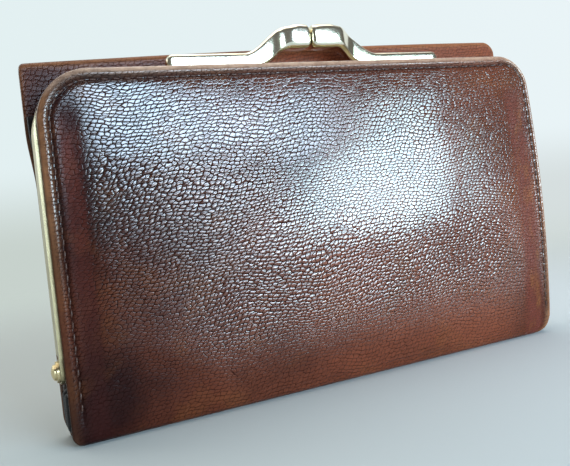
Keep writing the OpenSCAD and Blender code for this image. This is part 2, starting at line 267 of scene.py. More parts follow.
def leather(name, grain=1.0, bright=1.0):
    """Glossy pebble-grain leather, with painted shade in its creases and worn along its edges."""
    m = Nodes(name)
    place = m.attr("grain", 1)
    edge = m.attr("edge_d", 2)
    flat = m.attr("flat", 2)
    dull = m.attr("dull", 2)
    pebble, crease, tone = pebbles(m, place, flat)
    # flatter grain at the rim and where the leather is pressed against the frame
    middle = m.remap(edge, 0.5, 1.8, 0.2, 1.0)
    inside = m.product(middle, m.less(flat))
    # how strong the painted shade in the creases is, less at the rim and where the grain lies flat
    dark = m.product(middle, m.times_plus(flat, -0.5, 1.0))
    height = m.times_plus(m.noise(place, 3.1, 3.0, 0.6), 0.02, m.product(pebble, inside))
    pucker = m.math("COSINE", m.product(m.attr("run", 2), 2 * math.pi / STITCH_STEP))
    height = m.times_plus(m.product(m.attr("groove", 2), pucker), 0.9, height)
    rough = m.remap(m.noise(place, 0.4, 3.0), 0.3, 0.7, 0.085, 0.125)
    rough = m.times_plus(m.less(crease), 0.25, rough)
    rough = m.times_plus(dull, 0.16, rough)
    shine = m.product(m.remap(crease, 0.0, 1.0, 0.05, 1.0), m.times_plus(dull, -0.85, 0.95))
    base = leather_colour(m, place, edge, dark, crease, tone, bright)
    m.set(Base_Color=base, Roughness=rough, Normal=m.bump(height, 1.0, RELIEF * grain))
    m.set(Specular_IOR_Level=shine)
    return m.mat


def cloth(name, colour, thread=0.42):
    """Plain woven lining cloth, with painted shade between its threads and a painted sheen in broad random
    patches; thread is its pitch in millimetres.
    """
    m = Nodes(name)
    place = m.attr("grain", 1)
    across_cloth, along_cloth, _ = m.split(place)
    turn = math.pi / thread
    weave = m.product(m.ridges(m.product(across_cloth, turn)), m.ridges(m.product(along_cloth, turn)))
    fuzz = m.noise(place, 2.4, 4.0, 0.7)
    fold_sheen = m.remap(m.noise(place, 0.09, 3.0, 0.55), 0.35, 0.7)
    pale = tuple(c * 1.7 + 0.004 for c in colour)
    # painted shade between the threads of the weave
    base = m.mix(m.remap(weave, 0.0, 0.7), rgb(colour, 0.45), rgb(colour))
    # painted sheen: paler in broad random patches, as if folds caught the light
    base = m.mix(m.product(fold_sheen, 0.5), base, rgb(pale))
    rough = m.remap(fuzz, 0.3, 0.7, 0.62, 0.85)
    m.set(Base_Color=base, Roughness=rough, Normal=m.bump(m.times_plus(fuzz, 0.5, weave), 0.5, 0.00009))
    m.set(Sheen_Weight=0.25, Sheen_Roughness=0.4, Specular_IOR_Level=0.35)
    return m.mat


def metal(name, colour, stained, rough, space="object"):
    """Gold plate with fine rubbing marks and a little tarnish."""
    m = Nodes(name)
    place = m.object_mm() if space == "object" else m.attr("grain", 1)
    marks = m.noise(m.vmath("MULTIPLY", place, (0.5, 7.0, 7.0)), 1.0, 3.0, 0.6)
    stain = m.noise(place, 0.22, 4.0, 0.6)
    speck = m.remap(m.noise(place, 2.6, 2.0, 0.5), 0.62, 0.8)
    base = m.mix(m.remap(stain, 0.42, 0.75), rgb(colour), rgb(stained))
    base = m.mix(m.product(speck, 0.5), base, rgb(stained, 0.55))
    finish = m.remap(marks, 0.3, 0.7, rough, rough + 0.10)
    finish = m.times_plus(m.remap(stain, 0.5, 0.8), 0.12, finish)
    m.set(Base_Color=base, Metallic=1.0, Roughness=finish, Normal=m.bump(marks, 0.06, 0.00005))
    return m.mat


def thread_material(name, colour):
    """Waxed twisted thread, with painted shade between its plies."""
    m = Nodes(name)
    place = m.attr("grain", 1)
    along, around, _ = m.split(place)
    ply = m.ridges(m.math("ADD", m.product(along, 7.0), around))
    # painted shade between the plies
    base = m.mix(m.remap(ply, 0.0, 0.6), rgb(colour, 0.35), rgb(colour))
    base = m.mix(m.product(m.noise(place, 0.3, 2.0), 0.5), base, rgb(colour, 1.8))
    rough = m.remap(ply, 0.0, 1.0, 0.5, 0.32)
    m.set(Base_Color=base, Roughness=rough, Normal=m.bump(ply, 0.6, 0.00006))
    return m.mat


def board_material(name, dark, light, fleck_dark):
    """Stiffening board with fibres and flecks."""
    m = Nodes(name)
    place = m.object_mm()
    fibre = m.noise(m.vmath("MULTIPLY", place, (0.35, 2.0, 2.4)), 1.0, 5.0, 0.7)
    fleck = m.noise(place, 1.7, 3.0, 0.6)
    base = m.mix(m.remap(fibre, 0.3, 0.7), rgb(dark), rgb(light))
    base = m.mix(m.product(m.remap(fleck, 0.6, 0.75), 0.5), base, rgb(fleck_dark))
    rough = m.remap(fleck, 0.3, 0.7, 0.8, 0.95)
    m.set(Base_Color=base, Roughness=rough, Normal=m.bump(fibre, 0.4, 0.0001))
    return m.mat


LEATHER = leather("pebble_leather")
SMOOTH_LEATHER = leather("facing_leather", grain=0.5, bright=1.2)
BLACK = cloth("black_cloth", (0.013, 0.012, 0.013))
CLASP_GOLD = metal("clasp_gold", (0.90, 0.84, 0.68), (0.84, 0.74, 0.52), 0.10, "grain")
FRAME_GOLD = metal("frame_gold", (0.52, 0.45, 0.27), (0.44, 0.37, 0.21), 0.28)
RIVET_GOLD = metal("rivet_gold", (0.74, 0.60, 0.34), (0.42, 0.32, 0.16), 0.20)
THREAD = thread_material("waxed_thread", (0.055, 0.020, 0.012))
BOARD = board_material("grey_board", (0.30, 0.23, 0.15), (0.46, 0.38, 0.27), (0.16, 0.12, 0.08))


# Mesh helpers
def make(name, verts, faces, material, grain, **values):
    """A smooth mesh object with values stored on its points."""
    mesh = bpy.data.meshes.new(name)
    mesh.from_pydata(row(verts).tolist(), [], [tuple(int(i) for i in f) for f in faces])
    a = mesh.attributes.new("grain", "FLOAT_VECTOR", "POINT")
    a.data.foreach_set("vector", np.asarray(grain, np.float32).ravel())
    for label, data in values.items():
        a = mesh.attributes.new(label, "FLOAT", "POINT")
        a.data.foreach_set("value", np.asarray(data, np.float32).ravel())
    bm = bmesh.new()
    bm.from_mesh(mesh)
    bmesh.ops.recalc_face_normals(bm, faces=bm.faces)
    bm.to_mesh(mesh)
    bm.free()
    mesh.polygons.foreach_set("use_smooth", np.ones(len(mesh.polygons), bool))
    mesh.materials.append(material)
    obj = bpy.data.objects.new(name, mesh)
    link(obj)
    return obj


# the inner face of a sheet has another part of the same grain
INNER_GRAIN = (0, 0, 50.0)


def shell(name, outer, inner, material, u, s, **values):
    """A closed sheet between two grids of points, with its grain coordinates and other values."""
    nv, nu = outer.shape[:2]
    n = nv * nu
    i = np.arange(n).reshape(nv, nu)
    quads = np.stack([i[:-1, :-1], i[:-1, 1:], i[1:, 1:], i[1:, :-1]], -1).reshape(-1, 4)
    loop = np.r_[i[0, :-1], i[:-1, -1], i[-1, :0:-1], i[:0:-1, 0]]
    after = np.roll(loop, -1)
    rim = np.stack([loop, loop + n, after + n, after], -1)
    faces = np.concatenate([quads, quads[:, ::-1] + n, rim])
    verts = np.concatenate([outer.reshape(-1, 3), inner.reshape(-1, 3)])
    grain = np.stack([u, s, 0 * u], -1).reshape(-1, 3)
    both = {k: np.tile(np.broadcast_to(v, u.shape).ravel(), 2) for k, v in values.items()}
    return make(name, verts, faces, material, np.concatenate([grain, grain + INNER_GRAIN]), **both)


def tube(n, m):
    """Faces of a closed tube of n rings with m points each."""
    i = np.arange(n * m).reshape(n, m)
    after = np.roll(i, -1, axis=1)
    sides = np.stack([i[:-1], after[:-1], after[1:], i[1:]], -1).reshape(-1, 4)
    return [*sides, i[0, ::-1], i[-1]]


# distances of the grid lines from an edge: close at the rounded rim and at the stitches
EDGE_LINES = np.array([0, .04, .12, .24, .4, .6, .85, 1.1, 1.4, 1.7, 1.95, 2.15, 2.3, 2.45, 2.6, 2.75, 2.9,
                       3.05, 3.2, 3.4, 3.7, 4.1, 4.6, 5.1, 5.7, 6.3, 7, 8, 9, 10, 11, 12])


def lines(lo, hi, step):
    n = max(1, int(round((hi - lo) / step)))
    return np.linspace(lo, hi, n + 1)


def across(half):
    """Grid lines over the width, close together near both edges."""
    left = -half + EDGE_LINES
    return np.r_[left[:-1], lines(left[-1], -left[-1], 1.0), -left[-2::-1]]


def round_corner(x, z, half, top, r):
    """Bends a square grid's top corners to rounded ones."""
    a = np.clip((np.abs(x) - half + r) / r, 0, 1)
    b = np.clip((z - top + r) / r, 0, 1)
    both = (a > 0) & (b > 0)
    xn = half - r + r * a * np.sqrt(1 - b * b / 2)
    zn = top - r + r * b * np.sqrt(1 - a * a / 2)
    return np.where(both, np.sign(x) * xn, x), np.where(both, zn, z)


def edge_distance(x, z, half, top, r):
    """Distance from the sides and the rounded top of an outline."""
    ax = np.abs(x)
    corner = (ax > half - r) & (z > top - r)
    return np.where(corner, r - np.hypot(ax - half + r, z - top + r), np.minimum(half - ax, top - z))


def turned(d, t):
    """How far a rounded edge falls away at a distance d from the outline."""
    r = t / 2 - 0.05
    return np.where(d < r, r - np.sqrt(np.maximum(r * r - (r - np.clip(d, 0, r)) ** 2, 0)), 0.0)


GROOVE_W, GROOVE_DEPTH, BEAD_W, BEAD_H = 0.45, 0.40, 0.62, 0.24


def groove(d, inset=STITCH_IN):
    """1 in the sunken line of the stitches, 0 away from it."""
    return np.exp(-((d - inset) / GROOVE_W) ** 2)


def sewn(d, inset=STITCH_IN):
    """Depth of the stitched line, with a low bead between it and the edge."""
    return GROOVE_DEPTH * groove(d, inset) - BEAD_H * np.exp(-((d - inset / 2) / BEAD_W) ** 2)


def below(x, y, z, ny, nz, depth):
    """Points at a depth below a face, along its normal."""
    return np.stack([x, y - ny * depth, z - nz * depth], -1)


def sewn_part(z):
    """The stitched line starts a little above the bottom fold."""
    return ramp(z, 4.0, 9.0)


# Front leather
FOLD_LEN = math.pi / 2 * FOLD_R
FOOT_LEFT, FOOT_RIGHT = 3.0, 6.0
DOME, DOME_HALF, DOME_LOW, DOME_H = 2.5, 67.0, 2.5, 79.0
SIDE_BOW, FRONT_BOW = 1.5, 1.1
BAND_DEPTH = 0.08
FOLD_FROM = 79.0


def fold_path(s, face):
    """Points and outward normals (y, z) of the leather's outer face, s down from the top edge."""
    flat = PANEL_H - FOLD_R
    phi = np.clip((s - flat) / FOLD_R, 0, math.pi / 2)
    under = np.maximum(s - flat - FOLD_LEN, 0)
    y = FOLD_R * (1 - np.cos(phi)) + under
    z = np.where(s < flat, PANEL_H - s, FOLD_R * (1 - np.sin(phi)))
    ny, nz = -np.cos(phi), -np.sin(phi)
    if face == "back":
        y, ny = Y_BACK - y, -ny
    return y, z, ny, nz


def foot_width(x, z):
    """Narrows the sheet towards the rounded bottom corners."""
    out = x.copy()
    for sign, r in ((-1, FOOT_LEFT), (1, FOOT_RIGHT)):
        x0 = HALF_W - 2 * r
        low = np.clip(r - z, 0, r)
        x_max = HALF_W - r + np.sqrt(np.maximum(r * r - low * low, 0))
        moved = sign * (x0 + (sign * x - x0) * (x_max - x0) / (HALF_W - x0))
        out = np.where((sign * x > x0) & (z < r), moved, out)
    return out


def panel_outline(u, z, corner):
    """A square grid bent to the panel's outline, with each point's distance from its edge."""
    x = foot_width(u, z)
    r = corner(x)
    x, bent_z = round_corner(x, z, HALF_W, PANEL_H, r)
    d = np.minimum(edge_distance(x, np.minimum(bent_z, PANEL_H), HALF_W, PANEL_H, r), FAR)
    d = np.where(z < FOLD_R * 2, np.minimum(d, HALF_W - np.abs(u)), d)
    return x, bent_z, d


def swell(x, z):
    """The soft forward bulge of the front panel, with slight waves."""
    fx = np.clip(1 - np.abs(x / DOME_HALF) ** 2.7, 0, 1)
    t = np.clip((z - DOME_LOW) / DOME_H, 0, 1) ** 0.62
    fz = (4 * t * (1 - t)) ** 0.85
    wave = 0.16 * np.sin(x / 13.0 + z / 19.0) + 0.12 * np.sin(x / 7.5 - z / 11.0 + 1.0)
    return (DOME * (1 + 0.16 * x / HALF_W) + wave) * fx * fz


def right_bow(x, z):
    """How far the right end bows out to the side and to the front."""
    t = np.clip(z / PANEL_H, 0, 1)
    bow = 4 * t * (1 - t)
    return SIDE_BOW * ramp(x, 30, 70) * bow, FRONT_BOW * ramp(x, 40, 70) * bow


def side_inset(x):
    """The stitches lie nearer to the right edge than to the left one."""
    return STITCH_IN - 1.1 * ramp(x, 58, 67)


def corner_r(x):
    return np.where(x < 0, TOP_R, TOP_R_RIGHT)


def stitch_run(x, z):
    """Distance along the row of stitches, from the left foot over the top to the right one."""
    k = corner_r(x)
    r = k - STITCH_IN
    dx, dz = np.abs(x) - HALF_W + k, z - PANEL_H + k
    in_corner = np.arctan2(np.maximum(dz, 1e-6), np.maximum(dx, 1e-6))
    turn = np.where((dx > 0) & (dz > 0), in_corner, np.where(dz > 0, math.pi / 2, 0.0))
    from_foot = np.minimum(z, PANEL_H - k) - STITCH_Z + r * turn
    left = from_foot + np.where(dz > 0, np.maximum(-dx, 0.0), 0.0)
    return np.where(x < 0, left, STITCH_LEN - left)


def pressed(x, z):
    """1 in the smooth upright bands where the leather lies on the frame's flange."""
    left = np.exp(-((HALF_W + x - 6.2) / 2.3) ** 4)
    right = np.exp(-((HALF_W - x - 6.6) / 3.4) ** 4)
    return (left + right) * ramp(z, 79, 71)


def front_lift(x, z, d):
    """How far the front leather's outer face stands out from the flat."""
    band = pressed(x, z) * ramp(z, 8, 22)
    return swell(x, z) - turned(d, LEATHER_T) - sewn(d, side_inset(x)) * sewn_part(z) - BAND_DEPTH * band


def front_looks(x, z, d):
    """Relief, gloss, seams, wear and painted shade over the front leather."""
    band = pressed(x, z)
    top_seam = np.exp(-((d - 2.0) / 1.1) ** 2) * ramp(z, 77, 81)
    low_left = ramp(x, -31, -53) * ramp(z, 57, 35)
    dull = 0.85 * ramp(z, 23, 6) + 0.8 * low_left + 0.45 * ramp(x, -56, -63) + 0.7 * top_seam
    strong_low = ramp(z, 11, 23) * ramp(z, 46, 32) * ramp(x, -50, -30) * ramp(x, 66, 46)
    strong_left = ramp(z, 22, 36) * ramp(z, 68, 56) * ramp(x, -66, -58) * ramp(x, 2, -22)
    strong = np.maximum(strong_low, 0.75 * strong_left)
    belly = smooth(1.4 - np.hypot((x - 20) / 26, (z - 51) / 13))
    # worn tan at the rim, which fades low on the left side as painted shade
    rim_left = 0.08 + 0.50 * ramp(z, 22, 62) + 0.40 * ramp(x, -66, -52) * ramp(z, 60, 75)
    rim_right = 0.9 - 0.25 * ramp(x, 60, 66) * ramp(z, 80, 74)
    return {"edge_d": d,
            "flat": 0.6 * band - strong + 0.35 * belly + 0.3 * ramp(z, 16, 4),
            "dull": np.clip(0.7 * band + dull, 0, 0.95),
            "groove": groove(d, side_inset(x)) * sewn_part(z),
            "run": stitch_run(x, z),
            # painted shade over the pressed bands, fading out at the top
            "shade": band * ramp(z, 79, 65),
            "rim": (1 - 0.7 * top_seam) * np.where(x < 0, rim_left, rim_right)}


def front_face(u, s):
    """Outer and inner points of the front leather over its grid, and its looks."""
    y, z, ny, nz = fold_path(s, "front")
    x, z, d = panel_outline(u, z, corner_r)
    lift = front_lift(x, z, d)
    aside, push = right_bow(x, z)
    back = LEATHER_T - turned(d, LEATHER_T)
    outer = np.stack([x + aside, y + ny * lift - push, z + nz * lift], -1)
    inner = below(x + aside, y, z, ny, nz, back)
    return outer, inner, front_looks(x, z, d)


s_end = PANEL_H - FOLD_R + FOLD_LEN + (Y_SEAM - FOLD_R)
panel_u = across(HALF_W)
s_lines = np.r_[EDGE_LINES[:-1], lines(EDGE_LINES[-1], FOLD_FROM, 1.0)[:-1],
                lines(FOLD_FROM, s_end, 0.45)]
u_grid, s_grid = np.meshgrid(panel_u, s_lines)
outer, inner, looks = front_face(u_grid, s_grid)
front_leather = shell("front_leather", outer, inner, LEATHER, u_grid, s_grid, **looks)
row((0, 0, BLEND_TOP))
row((0, 0, BLEND_LOW))
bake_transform(front_leather)
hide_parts("front_panel")


# Rear wall of the pouch
def rear_face(u, s):
    """Outer and inner points of the rear leather over its grid, and its looks."""
    y, z, ny, nz = fold_path(s, "back")
    x, bent_z, d = panel_outline(u, z, lambda x: TOP_R)
    sink = turned(d, LEATHER_T) + 0.5 * np.maximum(sewn(d), 0) * sewn_part(z)
    back = LEATHER_T - turned(d, LEATHER_T)
    outer = below(x, y, bent_z, ny, nz, sink)
    inner = below(x, y, bent_z, ny, nz, back)
    return outer, inner, {"edge_d": d, "flat": 0.3, "dull": 0.3, "groove": 0.5 * groove(d), "rim": 0.0}


s_end_rear = PANEL_H - FOLD_R + FOLD_LEN + (Y_BACK - FOLD_R - Y_SEAM)
s_lines = np.r_[EDGE_LINES[:-1], lines(EDGE_LINES[-1], FOLD_FROM, 1.6)[:-1],
                lines(FOLD_FROM, s_end_rear, 0.45)]
u_grid, s_grid = np.meshgrid(panel_u, s_lines)
outer, inner, looks = rear_face(u_grid, s_grid)
rear_leather = shell("rear_leather", outer, inner, LEATHER, u_grid, 2 * s_end - s_grid, **looks)
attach(rear_leather, "purse")
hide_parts("outer_wrap")


# Bill pocket leaf
LEAF_SKEW, LEAF_RISE, LEAF_CROWN, LEAF_FLARE, LEAF_SAG = 1.6, 0.55, 0.75, 1.1, 0.35
CORNER_LEFT, CORNER_RIGHT = 1.3, 3.4
FACING_H, SEAM_TURN = 13.5, 0.62 * math.pi
ROLL_Z, ROLL_LEN = LEAF_LEN - LEAF_R, LEAF_R * (math.pi - SEAM_TURN)
ROLL_T, SEAM_EDGE = 0.95, 0.25
FOOT_TAPER_X, FOOT_TAPER_Z = 60.0, 4.0
LEAF_GRAIN_S, FACING_GRAIN_U, FACING_GRAIN_S = 200, 10, 300


def on_leaf(p):
    """Points on the leaf, drawn round its fold, to the layers' frame."""
    c, s = math.cos(LEAF_TILT), math.sin(LEAF_TILT)
    x, y, z = p[..., 0], p[..., 1], p[..., 2]
    return np.stack([x, LEAF_AXIS_Y + y * c + z * s, LEAF_R - y * s + z * c], -1)


def leaf_place(p):
    """The leaf's outline: top running up to the right, rounded corners, flared top left side."""
    q = p.copy()
    x, z = p[..., 0], p[..., 2]
    for sign, r in ((-1, CORNER_LEFT), (1, CORNER_RIGHT)):
        into = np.clip(sign * x - (LEAF_HALF - r), 0, r)
        near_top = smooth((z - LEAF_LEN + 3.5 * r + LEAF_R) / (2.5 * r))
        q[..., 2] -= (r - np.sqrt(r * r - into * into)) * near_top
    q[..., 0] -= LEAF_FLARE * ramp(z, 57, 72) * ramp(x, -45, -65)
    part = x / LEAF_HALF
    q[..., 2] += (LEAF_SKEW * part + LEAF_RISE + LEAF_CROWN * (1 - part ** 2)) * smooth(z / LEAF_LEN)
    return on_leaf(q)


def leaf_sag(x, z):
    return LEAF_SAG * np.sin(x / 21.0 + 0.6) * ramp(z, 5, 35) * smooth((LEAF_LEN - z) / 20)


def leaf_face(u, s):
    """The leaf's leather: from the seam behind the top down the back and round the foot."""
    a = np.clip(SEAM_TURN + s / LEAF_R, 0, math.pi)
    b = np.clip((s - ROLL_LEN - ROLL_Z) / LEAF_R, 0, math.pi)
    at_top, at_foot = s < ROLL_LEN, b > 0
    ny = np.where(at_top, -np.cos(a), np.where(at_foot, np.cos(b), 1.0))
    nz = np.where(at_top, np.sin(a), np.where(at_foot, -np.sin(b), 0.0))
    y = LEAF_R * ny
    z = np.where(at_top | at_foot, ROLL_Z * at_top + LEAF_R * nz, ROLL_Z - (s - ROLL_LEN))
    # the foot is a little narrower than the rest
    foot = np.clip((FOOT_TAPER_Z - z) / FOOT_TAPER_Z, 0, 1)
    past = np.abs(u) - FOOT_TAPER_X
    x = np.where(past > 0, np.sign(u) * (FOOT_TAPER_X + past * (1 - 0.10 * foot ** 2)), u)
    side = LEAF_HALF - np.abs(u)
    d = np.minimum(np.minimum(side, s - ROLL_LEN + 1.0 + 4 * at_top), FAR)
    t = np.where(at_top | at_foot, ROLL_T, LEATHER_T)
    body = smooth((s - ROLL_LEN) / 2.0) * smooth((ROLL_LEN + ROLL_Z - s) / 3.0)
    end = np.where(s < SEAM_EDGE, SEAM_EDGE - s, 0.0)
    sink = turned(side, LEATHER_T) + sewn(d) * body - leaf_sag(x, z) * body + end
    back = t - turned(side, LEATHER_T) * 0.5
    outer = below(x, y, z, ny, nz, sink)
    inner = below(x, y, z, ny, nz, back)
    edge = np.minimum(side, FAR) + 0.8
    looks = {"edge_d": edge, "flat": 0.25, "dull": 0.25, "groove": groove(d) * body, "rim": 0.5}
    return leaf_place(outer), leaf_place(inner), looks


leaf_u = across(LEAF_HALF)
foot_at = ROLL_LEN + ROLL_Z
leaf_path = foot_at + math.pi * LEAF_R
s_lines = np.r_[lines(0, ROLL_LEN, 0.15)[:-1], ROLL_LEN + EDGE_LINES[:-1],
                lines(ROLL_LEN + EDGE_LINES[-1], foot_at, 1.2)[:-1],
                lines(foot_at, leaf_path, 0.30)]
u_grid, s_grid = np.meshgrid(leaf_u, s_lines)
outer, inner, looks = leaf_face(u_grid, s_grid)
leaf_leather = shell("leaf_leather_soft", outer, inner, LEATHER, u_grid, s_grid + LEAF_GRAIN_S, **looks)
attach(leaf_leather, "bill_leaf")
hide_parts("leaf_leather")


def facing_face(u, s):
    """The leaf's facing: from its lower edge up the front and over the top to the seam."""
    rise = ROLL_Z - (LEAF_LEN - FACING_H)
    seam = rise + LEAF_R * SEAM_TURN
    a = np.clip((s - rise) / LEAF_R, 0, SEAM_TURN)
    ny, nz = -np.cos(a), np.sin(a)
    y = LEAF_R * ny
    z = np.where(s < rise, LEAF_LEN - FACING_H + s, ROLL_Z + LEAF_R * nz)
    side = LEAF_HALF - np.abs(u)
    t = 0.5 + 0.42 * smooth((s - rise + 1.0) / 1.5)
    fall = np.minimum(turned(np.minimum(side, s), 0.8), 0.3)
    sink = fall + np.where(s > seam - SEAM_EDGE, s - seam + SEAM_EDGE, 0.0)
    back = t - fall * 0.4
    outer = below(u, y, z, ny, nz, sink)
    inner = below(u, y, z, ny, nz, back)
    # worn over the rolled top
    d = np.minimum(np.minimum(side, s), FAR) + 1.2
    d = np.minimum(d, 0.8 + 1.2 * np.maximum(rise + 0.6 - s, 0.0))
    looks = {"edge_d": d, "flat": 0.35, "dull": 0.9, "groove": 0.0, "rim": 0.5}
    return leaf_place(outer), leaf_place(inner), looks


facing_len = ROLL_Z - (LEAF_LEN - FACING_H) + LEAF_R * SEAM_TURN
roll_from = facing_len - 3.5
s_lines = np.r_[0, .06, .15, .3, .5, .8, lines(1.2, roll_from, 0.9)[:-1],
                lines(roll_from, facing_len, 0.14)]
u_grid, s_grid = np.meshgrid(leaf_u, s_lines)
outer, inner, looks = facing_face(u_grid, s_grid)
leaf_facing = shell("leaf_facing_soft", outer, inner, SMOOTH_LEATHER, u_grid + FACING_GRAIN_U,
                    FACING_GRAIN_S - s_grid, **looks)
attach(leaf_facing, "bill_leaf")
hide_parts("leaf_facing")


def flat_sheet(name, half, z0, z1, y0, t, material, step=2.0):
    """A flat sheet on the leaf from y0 to y0 + t."""
    ends = np.array([0, .1, .3, .7, 1.5])
    u, z = np.meshgrid(np.r_[-half + ends, lines(-half + 3, half - 3, step), half - ends[::-1]],
                       np.r_[z0 + ends, lines(z0 + 3, z1 - 3, step), z1 - ends[::-1]])
    d = np.minimum.reduce([half - np.abs(u), z1 - z, z - z0])
    fall = np.minimum(turned(d, t), t / 2 - 0.02)
    front = np.stack([u, y0 + fall, z], -1)
    back = np.stack([u, y0 + t - fall, z], -1)
    return shell(name, leaf_place(front), leaf_place(back), material, u, z)


SHEET_FOOT = 2.4
leaf_lining = flat_sheet("leaf_lining_cloth", LEAF_HALF - 1.2, SHEET_FOOT, LEAF_LEN - FACING_H - 0.2,
                         -LEAF_R, 0.45, BLACK)
leaf_board = flat_sheet("leaf_board_stiff", LEAF_HALF - 1.4, SHEET_FOOT, LEAF_LEN - 3.0, -0.69, 0.56, BOARD)
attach(leaf_board, "bill_leaf")
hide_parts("leaf_board")
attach(leaf_lining, "bill_leaf")
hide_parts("leaf_lining")


# Pouch linings
LINING_HALF, LINING_TOP, LINING_LOW, LINING_R, LINING_Y, LINING_T = 67.2, 79.5, 3.4, 1.8, 2.3, 0.36
LINING_CORNER, LINING_BEND, RIPPLE = 10.2, 56.0, 0.10
BOARD_STEP = 0.7
LINING_EDGES = np.array([0, .1, .3, .8, 1.6])


def lining_path(s, face):
    """Middle line (y, z) of the lining and its inward normal, s down from the top."""
    upright = LINING_TOP - LINING_LOW
    z = np.where(s < upright, LINING_TOP - s, LINING_LOW)
    # the front board ends above the hinge, the rear one goes down to the foot
    y = LINING_Y - BOARD_STEP * ramp(z, 20.0, 12.0) * (face == "front")
    phi = np.clip((s - upright) / LINING_R, 0, math.pi / 2)
    under = np.maximum(s - upright - LINING_R * math.pi / 2, 0)
    y = y + LINING_R * (1 - np.cos(phi)) + under
    z = np.where(s < upright, z, LINING_LOW - LINING_R * np.sin(phi))
    ny, nz = np.cos(phi), np.sin(phi)
    if face == "back":
        y, ny = Y_BACK - y, -ny
    return y, z, ny, nz


def lining(name, face, bodies, replaced):
    half, top = LINING_HALF, LINING_TOP
    y_low = LINING_Y - BOARD_STEP * (face == "front")
    s_last = (top - LINING_LOW) + LINING_R * math.pi / 2 + (Y_SEAM - y_low - LINING_R)
    u = np.r_[-half + LINING_EDGES, lines(-half + 3, half - 3, 1.5), half - LINING_EDGES[::-1]]
    s = np.r_[LINING_EDGES, lines(3, LINING_BEND, 1.5)[:-1], lines(LINING_BEND, s_last, 0.6)]
    u, s = np.meshgrid(u, s)
    y, z, ny, nz = lining_path(s, face)
    narrow = 1 - 0.03 * ramp(z, 8.0, 2.0)
    x, bent_z = round_corner(u * narrow, z, half, top, LINING_CORNER)
    inside = ramp(z, 6, 18) * smooth((top - z) / 10) * smooth((half - np.abs(u)) / 8)
    up = np.abs(RIPPLE * np.sin(x / 9.0 + z / 14.0) * inside) + LINING_T / 2
    outer = below(x, y, bent_z, ny, nz, -up)
    inner = below(x, y, bent_z, ny, nz, LINING_T / 2)
    piece = shell(name, outer, inner, BLACK, u, s)
    if len(bodies) == 2:
        row((0, 0, BLEND_TOP))
        row((0, 0, BLEND_LOW))
        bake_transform(piece)
    else:
        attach(piece, bodies[0])
    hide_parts(replaced)


lining("front_lining_cloth", "front", ("front_half", "purse"), "front_lining")
lining("pouch_lining_cloth", "back", ("purse",), "pouch_lining")


# Gussets
def ribbon(name, path, t):
    """A sheet of cloth that follows path[k, i] (rows up, points along), t thick, and its mean width."""
    along = np.gradient(path, axis=1)
    upward = np.gradient(path, axis=0)
    n = np.cross(along, upward)
    n /= np.maximum(np.linalg.norm(n, axis=-1, keepdims=True), 1e-9)
    steps = np.linalg.norm(np.diff(path, axis=1), axis=-1)
    run = np.concatenate([np.zeros((path.shape[0], 1)), np.cumsum(steps, axis=1)], 1)
    piece = shell(name, path + n * t / 2, path - n * t / 2, BLACK, run, path[..., 2])
    return piece, float(run[:, -1].mean())


def curve(points, n):
    """Smooth line through the points, n points long."""
    p = np.array(points, float)
    t = np.r_[0, np.cumsum(np.linalg.norm(np.diff(p, axis=0), axis=1))]
    m = np.gradient(p, t, axis=0)
    q = np.linspace(0, t[-1], n)
    k = np.clip(np.searchsorted(t, q, side="right") - 1, 0, len(t) - 2)
    h = (t[k + 1] - t[k])[:, None]
    w = ((q - t[k]) / (t[k + 1] - t[k]))[:, None]
    return ((2 * w ** 3 - 3 * w ** 2 + 1) * p[k] + (w ** 3 - 2 * w ** 2 + w) * h * m[k]
            + (-2 * w ** 3 + 3 * w ** 2) * p[k + 1] + (w ** 3 - w ** 2) * h * m[k + 1])


def with_twin(points):
    """Adds the mirror image behind the middle seam; the last point lies on the seam."""
    return points + [(x, 2 * Y_SEAM - y) for x, y in points[-2::-1]]


GUSSET_LOW, GUSSET_SPLIT, GUSSET_TOP_MID, GUSSET_TOP_RISE = 2.0, 15.0, 36.0, 6.0
FOLD_POINTS, POCKET_POINTS = 60, 64
FOLD_HALF = [(69.0, 1.75), (69.9, 2.0), (70.35, 2.9), (70.2, 3.9), (69.0, 4.45), (66.0, 4.58), (61.5, 4.64),
             (59.0, Y_SEAM)]
FAN_HALF = [(67.6, 2.42), (67.0, 2.62), (64.0, 3.35), (60.5, 4.22), (58.6, Y_SEAM)]
FOLD_LINE = curve(with_twin(FOLD_HALF), FOLD_POINTS)
FAN_LINE = curve(with_twin(FAN_HALF), FOLD_POINTS)
POCKET_LOW, POCKET_TOP, POCKET_BULGE = 23.2, 75.0, 1.4
POCKET_Y = 10.24


def gusset_foot(side, sign):
    """The black fold below the rivet, which narrows to the fan above it."""
    rows = []
    for z in lines(GUSSET_LOW, GUSSET_SPLIT, 0.5):
        f = ramp(z, 11.3, 13.9)
        line = FOLD_LINE * (1 - f) + FAN_LINE * f
        tuck = 1.6 * (1 - ramp(z, GUSSET_LOW, 5.0)) ** 2
        x = line[:, 0] - tuck * ramp(line[:, 0], 60, 68)
        rows.append(np.stack([sign * x, line[:, 1], np.full(FOLD_POINTS, z)], -1))
    piece, width = ribbon(f"{side}_gusset_foot", np.array(rows), 0.32)
    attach(piece, "purse")
    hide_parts(f"{side}_gusset")


def gusset_fan(side, sign):
    """The fold between the two halves of the frame."""
    top = GUSSET_TOP_MID + GUSSET_TOP_RISE * np.abs(np.linspace(-1, 1, FOLD_POINTS))
    rows = []
    for k in np.linspace(0, 1, 36):
        z = GUSSET_SPLIT + (top - GUSSET_SPLIT) * k
        rows.append(np.stack([sign * FAN_LINE[:, 0], FAN_LINE[:, 1], z], -1))
    piece, width = ribbon(f"{side}_gusset_fold", np.array(rows), 0.30)
    row((0, 2.42, 20))
    row((0, 7.08, 20))
    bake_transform(piece)
    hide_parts(f"{side}_gusset")


